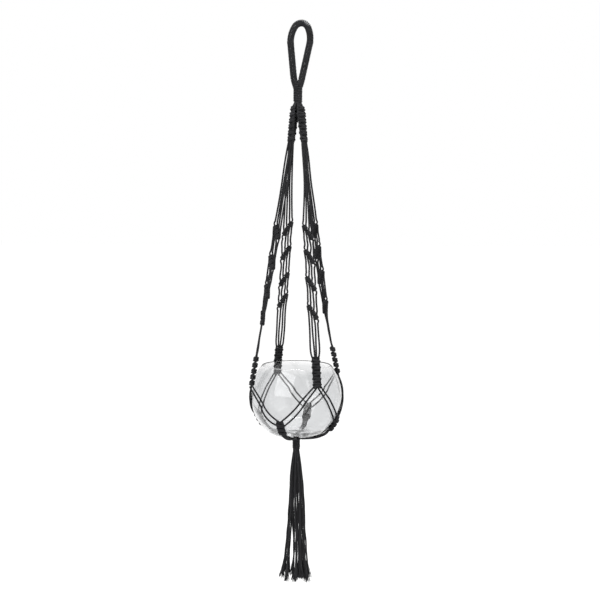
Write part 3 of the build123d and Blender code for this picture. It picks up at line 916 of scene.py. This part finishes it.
def glass_bowl():
    """A blown bowl: rounded rim, even wall, thick floor and a shallow hollow under the foot."""
    wall, floor = 2.4, 6.0
    rim_height = BOWL_HIGH[2] - BOWL_CENTRE[2] + 3.2
    low = -BASE_DEPTH
    rim_angle = math.degrees(math.asin((rim_height - 0.8) / BOWL_RADIUS))
    outer = [*reversed(ROUNDED_BASE), *arc_points((0, 0), BOWL_RADIUS, -46, rim_angle, 56)]
    lip = 1.6  # the wall thins toward the rim
    middle = BOWL_RADIUS - lip / 2
    rim_centre = (middle * math.cos(math.radians(rim_angle)), middle * math.sin(math.radians(rim_angle)))
    rim = arc_points(rim_centre, lip / 2, rim_angle + 12, rim_angle + 168, 9)
    inside = BOWL_RADIUS - wall
    floor_height = low + floor
    corner = 9.0
    turn_angle = -math.degrees(math.asin((-floor_height - corner) / (inside - corner)))
    inner = [
        ((BOWL_RADIUS - thick) * math.cos(a), (BOWL_RADIUS - thick) * math.sin(a))
        for a in np.radians(np.linspace(rim_angle, turn_angle, 60))
        for thick in (wall - (wall - lip) * max(0.0, 1 - (math.radians(rim_angle) - a) / 0.45),)
    ]
    bend_centre = (
        (inside - corner) * math.cos(math.radians(turn_angle)),
        (inside - corner) * math.sin(math.radians(turn_angle)),
    )
    bend = arc_points(bend_centre, corner, turn_angle - 4, -90, 10)
    dip = 0.5  # of the floor at its middle
    floor_points = [
        (bend_centre[0] * share, floor_height - dip * (1 - share**2)) for share in (0.85, 0.6, 0.3)
    ]
    hollow = 1.6  # under the foot
    under = [(24.0 * share, low + hollow * (1 - share**2)) for share in (0.35, 0.7, 0.9)]
    ground = [(25.0, low + 0.15), (27.0, low)]
    profile = [*under, *ground, *outer, *rim, *inner, *bend, *floor_points]
    # Near its rim the bowl is a little wider than a sphere.
    profile = [
        (radius + 2.2 * max(0.0, height / rim_height - 0.45) ** 2 / 0.3, height)
        for radius, height in profile
    ]
    segments = 160
    points = [(0, 0, low + hollow)]
    for radius, height in profile:
        for segment in range(segments):
            angle = 2 * math.pi * segment / segments
            points.append((radius * math.cos(angle), radius * math.sin(angle), height))
    points.append((0, 0, floor_height - dip))
    faces = []
    for ring in range(len(profile) - 1):
        for segment in range(segments):
            after = (segment + 1) % segments
            first = 1 + ring * segments
            second = first + segments
            faces.append((first + segment, first + after, second + after, second + segment))
    last = 1 + (len(profile) - 1) * segments
    for segment in range(segments):
        after = (segment + 1) % segments
        faces.append((0, 1 + after, 1 + segment))
        faces.append((len(points) - 1, last + segment, last + after))
    mesh = bpy.data.meshes.new("bowl")
    mesh.from_pydata([tuple((np.array(p) + BOWL_CENTRE) * MM) for p in points], [], faces)
    mesh.polygons.foreach_set("use_smooth", np.ones(len(faces), dtype=bool))
    mesh.materials.append(GLASS)
    piece = bpy.data.objects.new("bowl_glass", mesh)
    bpy.context.scene.collection.objects.link(piece)
    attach(piece, "bowl")
    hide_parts("glass_bowl")


# Camera, floor and light


def camera():
    """Level with the first rows of knots, tilted and shifted down to take in the tassel."""
    data = bpy.data.cameras.new("camera")
    data.lens = 62.7
    data.sensor_width = 36
    data.shift_y = -0.065
    item = bpy.data.objects.new("camera", data)
    bpy.context.scene.collection.objects.link(item)
    place = Vector((0.0053, -1.86, -0.343))
    look = Vector((0, 1, -0.0385)).to_track_quat("-Z", "Y").to_matrix().to_4x4()
    item.matrix_world = Matrix.Translation(place) @ look @ Matrix.Rotation(math.radians(0.27), 4, "Z")
    bpy.context.scene.camera = item


def area_light(name, place, aim, size, power):
    data = bpy.data.lights.new(name, "AREA")
    data.shape = "RECTANGLE"
    data.size, data.size_y = size
    data.energy = power
    item = bpy.data.objects.new(name, data)
    bpy.context.scene.collection.objects.link(item)
    item.location = place
    item.rotation_euler = (Vector(aim) - Vector(place)).to_track_quat("-Z", "Y").to_euler()


def studio():
    low, _ = CAD_BOX
    mesh = bpy.data.meshes.new("floor")
    reach, level = 30, low[2] - 0.12
    corners = [(x, y, level) for x, y in ((-reach, -reach), (reach, -reach), (reach, reach), (-reach, reach))]
    mesh.from_pydata(corners, [], [(0, 1, 2, 3)])
    material, nodes, links, shader = new_material("pale_floor")
    grain = nodes.new("ShaderNodeTexNoise")
    grain.inputs["Scale"].default_value = 3
    colour = ramp(nodes, (0.28, 0.28, 0.28), (0.31, 0.31, 0.31))
    links.new(grain.outputs["Fac"], colour.inputs["Fac"])
    links.new(colour.outputs["Color"], shader.inputs["Base Color"])
    shader.inputs["Roughness"].default_value = 0.9
    shader.inputs["Specular IOR Level"].default_value = 0.0
    shader.inputs["Emission Color"].default_value = (1, 1, 1, 1)
    shader.inputs["Emission Strength"].default_value = 0.73
    mesh.materials.append(material)
    floor = bpy.data.objects.new("floor", mesh)
    bpy.context.scene.collection.objects.link(floor)
    world = bpy.data.worlds.new("studio")
    world.use_nodes = True
    world.node_tree.nodes["Background"].inputs["Color"].default_value = (1, 1, 1, 1)
    world.node_tree.nodes["Background"].inputs["Strength"].default_value = 1.0
    bpy.context.scene.world = world
    bpy.context.scene.view_settings.view_transform = "Standard"
    middle = (0, 0, -0.45)
    area_light("key", (-1.3, -1.9, 0.7), middle, (2.2, 2.4), 44)
    area_light("fill", (1.9, -1.3, 0.1), middle, (2.0, 2.2), 22)
    area_light("top", (0.2, 0.3, 1.5), middle, (2.0, 2.0), 26)
    area_light("strip", (0.03, -0.43, 0.65), (0.01, -0.06, -0.6), (0.6, 0.06), 3.6)


camera()
for strand_number in TASSEL_STRANDS:
    tassel_strand(strand_number)

hang("loop_wrap", loop_wrap(), WRAPPING, "loop", ("loop_wrapping",))
throat = cords_object("throat_cords", throat_cords(), KNOTTING)
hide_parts("loop_core_cords")
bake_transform(throat)
hang(
    "neck_wrap", upright_wrap(NECK_TOP, NECK_BASE[2] + 0.3, 6.6, 0.6), WRAPPING, "neck",
    ("neck_wrapping", "neck_core_cords"),
)
fan = cords_object("neck_fan_cords", [s for arm in ARMS for s in neck_fan(arm)], KNOTTING)
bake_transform(fan)

for arm_name in ARMS:
    upper, middle, lower = arm_cords(arm_name)
    rows = [surface for start in ROW_STARTS[arm_name] for surface in hitch_row(arm_name, start)]
    stretches = {
        "top_knots": top_knots(arm_name),
        "upper_cords": [cord_surface(line, ARM_RADIUS) for line in upper],
        "hitch_rows": rows,
        "mid_cords": [cord_surface(line, ARM_RADIUS) for line in middle],
        "lower_cords": [cord_surface(line, ARM_RADIUS) for line in lower],
        "lower_knots": lower_knots(arm_name),
        "sling_cords": sling_cords(arm_name),
    }
    for part, surfaces in stretches.items():
        node_name = f"{arm_name}_{part}"
        hang(f"{node_name}_cotton", surfaces, KNOTTING, "hanger", (node_name,))

for junction in JUNCTIONS:
    stretches = {"junction_knots": junction_knots(junction), "base_cords": base_cords(junction)}
    for part, surfaces in stretches.items():
        node_name = f"{junction}_{part}"
        hang(f"{node_name}_cotton", surfaces, KNOTTING, "hanger", (node_name,))

crossing = cords_object("crossing_cords", crossing_cords(), KNOTTING)
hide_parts("base_crossing")
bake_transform(crossing)
hang(
    "gathering_wrap", upright_wrap(GATHER_TOP[2] + 1.2, GATHER_BASE[2] + 0.5, 5.4), WRAPPING, "gather",
    ("gathering_wrapping", "gathered_cords"),
)
glass_bowl()
studio()
